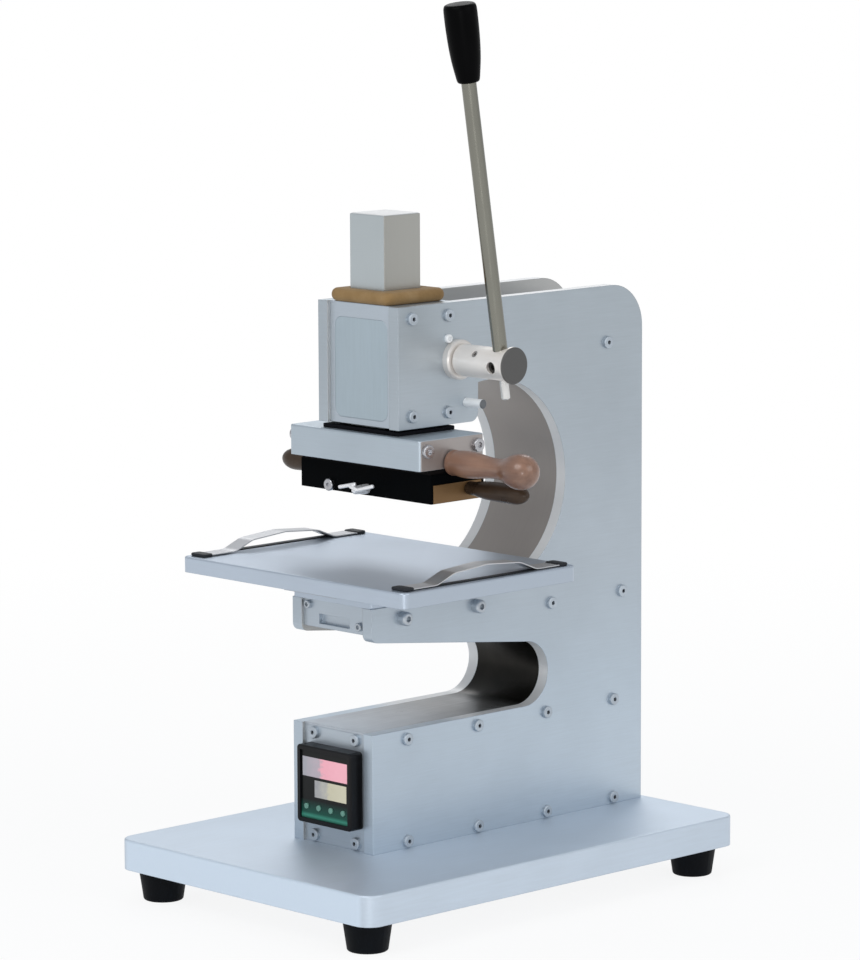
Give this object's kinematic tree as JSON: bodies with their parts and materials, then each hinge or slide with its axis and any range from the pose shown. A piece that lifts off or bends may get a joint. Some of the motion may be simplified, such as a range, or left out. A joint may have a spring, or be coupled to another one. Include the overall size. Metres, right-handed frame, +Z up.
{
  "type": "hot foil stamping press",
  "caption": "Bench hot foil stamping press with a C frame, rack and pinion ram, side lever, heated head and sliding work table.",
  "frame": {"origin": "on the bench under the middle of the outline", "axes": "+Z up, +X to the machine's right, where the lever is, +Y to the back"},
  "size_m": [0.2392, 0.318, 0.5504],
  "materials": {
    "anodised": "satin",
    "liner": "satin",
    "steel": "brushed",
    "rod_steel": "brushed",
    "bright": "polished",
    "ram_metal": "satin",
    "heater_black": "matte",
    "board": "matte",
    "brass": "satin",
    "bronze": "satin",
    "tan_pad": "matte",
    "handle_wood": "varnished",
    "knob_brown": "gloss",
    "grip_black": "satin",
    "foot_rubber": "matte",
    "case_black": "satin",
    "face_green": "gloss",
    "display": "gloss",
    "button_grey": "matte",
    "relay_body": "matte"
  },
  "bodies": {
    "frame": {"base_plate": "anodised", "rubber_feet": "foot_rubber", "foot_screws": "steel", "side_plate_left": "anodised", "side_plate_right": "anodised", "base_rails": "anodised", "cross_bars": "anodised", "frame_spacers": "anodised", "frame_screws": "steel", "table_bolts": "steel", "arm_panel": "anodised", "lower_cover": "anodised", "throat_liner": "liner", "top_cover": "anodised", "rear_cover": "anodised", "guide_block": "anodised", "head_panel": "anodised", "wiper_pad": "tan_pad", "bearing_bushes": "bronze", "return_spring": "steel", "support_block": "anodised", "table_carrier": "anodised", "table_gibs": "anodised", "controller_case": "case_black", "controller_face": "face_green", "controller_displays": "display", "heater_relay": "relay_body", "power_inlet": "case_black", "switch_frame": "case_black"},
    "lever": {"drive_pinion": "steel", "pinion_shaft": "steel", "pinion_key": "steel", "retaining_ring": "steel", "lever_hub": "steel", "hub_set_screws": "steel", "lever_rod": "rod_steel", "lever_grip": "grip_black"},
    "ram": {"press_ram": "ram_metal", "press_rack": "steel", "pressure_plate": "anodised", "plate_screws": "steel", "insulating_plate": "board", "heater_block": "heater_black", "heater_cartridges": "steel", "heat_probe": "steel", "press_handle": "handle_wood", "handle_stud": "steel"},
    "die_holder": {"die_plate": "brass", "die_knob": "knob_brown"},
    "side_clamp": {"clamp_knob": "knob_brown"},
    "front_clamp": {"wing_screw": "bright"},
    "table": {"work_table": "anodised", "slide_bar": "anodised", "sprung_strips": "bright", "strip_pads": "foot_rubber"},
    "power_switch": {"switch_rocker": "case_black"},
    "button_1": {"controller_button_1": "button_grey"},
    "button_2": {"controller_button_2": "button_grey"},
    "button_3": {"controller_button_3": "button_grey"},
    "button_4": {"controller_button_4": "button_grey"}
  },
  "joints": [
    {"name": "ram_slide", "type": "slide", "parent": "frame", "child": "ram", "axis": [0, 0, -1], "range_m": [0, 0.03], "stiffness_N_per_m": 900, "springref_m": -0.03},
    {"name": "lever_hinge", "type": "hinge", "parent": "frame", "child": "lever", "pos_m": [0.0665, -0.0101, 0.3332], "axis": [1, 0, 0], "range_deg": [0, 107.5]},
    {"name": "die_plate_slide", "type": "slide", "parent": "ram", "child": "die_holder", "axis": [1, 0, 0], "range_m": [0, 0.1]},
    {"name": "side_clamp_turn", "type": "hinge", "parent": "ram", "child": "side_clamp", "pos_m": [-0.06475, -0.0315, 0.2626], "axis": [-1, 0, 0], "range_deg": [0, 180]},
    {"name": "front_clamp_turn", "type": "hinge", "parent": "ram", "child": "front_clamp", "pos_m": [-0.0051, -0.0535, 0.2554], "axis": [0, -1, 0], "range_deg": [-40, 40]},
    {"name": "table_slide", "type": "slide", "parent": "frame", "child": "table", "axis": [0, 1, 0], "range_m": [-0.02, 0.02]},
    {"name": "power_switch_tilt", "type": "hinge", "parent": "frame", "child": "power_switch", "pos_m": [-0.0071, 0.1521, 0.09], "axis": [1, 0, 0], "range_deg": [-18, 0]},
    {"name": "button_1_press", "type": "slide", "parent": "frame", "child": "button_1", "axis": [0, 1, 0], "range_m": [0, 0.0006], "stiffness_N_per_m": 800, "springref_m": -0.0008},
    {"name": "button_2_press", "type": "slide", "parent": "frame", "child": "button_2", "axis": [0, 1, 0], "range_m": [0, 0.0006], "stiffness_N_per_m": 800, "springref_m": -0.0008},
    {"name": "button_3_press", "type": "slide", "parent": "frame", "child": "button_3", "axis": [0, 1, 0], "range_m": [0, 0.0006], "stiffness_N_per_m": 800, "springref_m": -0.0008},
    {"name": "button_4_press", "type": "slide", "parent": "frame", "child": "button_4", "axis": [0, 1, 0], "range_m": [0, 0.0006], "stiffness_N_per_m": 800, "springref_m": -0.0008}
  ],
  "couplings": [
    {"joint": "lever_hinge", "follows": "ram_slide", "rad_per_m": 62.5}
  ]
}
